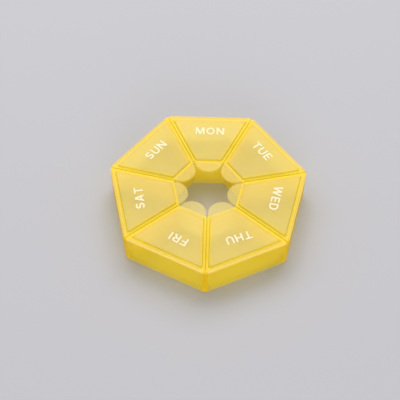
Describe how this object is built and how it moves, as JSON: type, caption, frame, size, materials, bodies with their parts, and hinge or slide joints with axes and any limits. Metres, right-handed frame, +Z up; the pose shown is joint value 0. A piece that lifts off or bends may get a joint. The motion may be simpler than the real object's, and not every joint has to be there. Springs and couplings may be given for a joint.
{
  "type": "weekly pill organizer",
  "caption": "Heptagonal ring pill organizer in translucent yellow plastic, with a hinged flip lid over each day's cell and thumb tabs round a central hole.",
  "frame": {"origin": "on the axis of the centre hole, at the flat base that the tray stands on", "axes": "+Z up, +Y towards the flat of the first day's cell (the back of the pictured view), +X to the right of that view; the days follow clockwise from above"},
  "size_m": [0.097, 0.0947, 0.0186],
  "materials": {
    "tray_plastic": "moulded polypropylene, translucent, soft gloss",
    "lid_plastic": "moulded polypropylene, translucent and slightly frosted, soft gloss",
    "hinge_plastic": "moulded polypropylene, thin bending web",
    "day_print": "white screen print"
  },
  "bodies": {
    "tray": {"tray": "tray_plastic", "hinge_mon": "hinge_plastic", "hinge_tue": "hinge_plastic", "hinge_wed": "hinge_plastic", "hinge_thu": "hinge_plastic", "hinge_fri": "hinge_plastic", "hinge_sat": "hinge_plastic", "hinge_sun": "hinge_plastic"},
    "lid_mon": {"lid_mon": "lid_plastic"},
    "lid_tue": {"lid_tue": "lid_plastic"},
    "lid_wed": {"lid_wed": "lid_plastic"},
    "lid_thu": {"lid_thu": "lid_plastic"},
    "lid_fri": {"lid_fri": "lid_plastic"},
    "lid_sat": {"lid_sat": "lid_plastic"},
    "lid_sun": {"lid_sun": "lid_plastic"}
  },
  "joints": [
    {"name": "mon_lid_hinge", "type": "hinge", "parent": "tray", "child": "lid_mon", "pos_m": [0, 0.04505, 0.0169], "axis": [-1, 0, 0], "range_deg": [0, 180], "deforming": ["hinge_mon"]},
    {"name": "tue_lid_hinge", "type": "hinge", "parent": "tray", "child": "lid_tue", "pos_m": [0.03522, 0.02809, 0.0169], "axis": [-0.6235, 0.7818, 0], "range_deg": [0, 180], "deforming": ["hinge_tue"]},
    {"name": "wed_lid_hinge", "type": "hinge", "parent": "tray", "child": "lid_wed", "pos_m": [0.04392, -0.01002, 0.0169], "axis": [0.2225, 0.9749, 0], "range_deg": [0, 180], "deforming": ["hinge_wed"]},
    {"name": "thu_lid_hinge", "type": "hinge", "parent": "tray", "child": "lid_thu", "pos_m": [0.01955, -0.04059, 0.0169], "axis": [0.901, 0.4339, 0], "range_deg": [0, 180], "deforming": ["hinge_thu"]},
    {"name": "fri_lid_hinge", "type": "hinge", "parent": "tray", "child": "lid_fri", "pos_m": [-0.01955, -0.04059, 0.0169], "axis": [0.901, -0.4339, 0], "range_deg": [0, 180], "deforming": ["hinge_fri"]},
    {"name": "sat_lid_hinge", "type": "hinge", "parent": "tray", "child": "lid_sat", "pos_m": [-0.04392, -0.01002, 0.0169], "axis": [0.2225, -0.9749, 0], "range_deg": [0, 180], "deforming": ["hinge_sat"]},
    {"name": "sun_lid_hinge", "type": "hinge", "parent": "tray", "child": "lid_sun", "pos_m": [-0.03522, 0.02809, 0.0169], "axis": [-0.6235, -0.7818, 0], "range_deg": [0, 180], "deforming": ["hinge_sun"]}
  ]
}
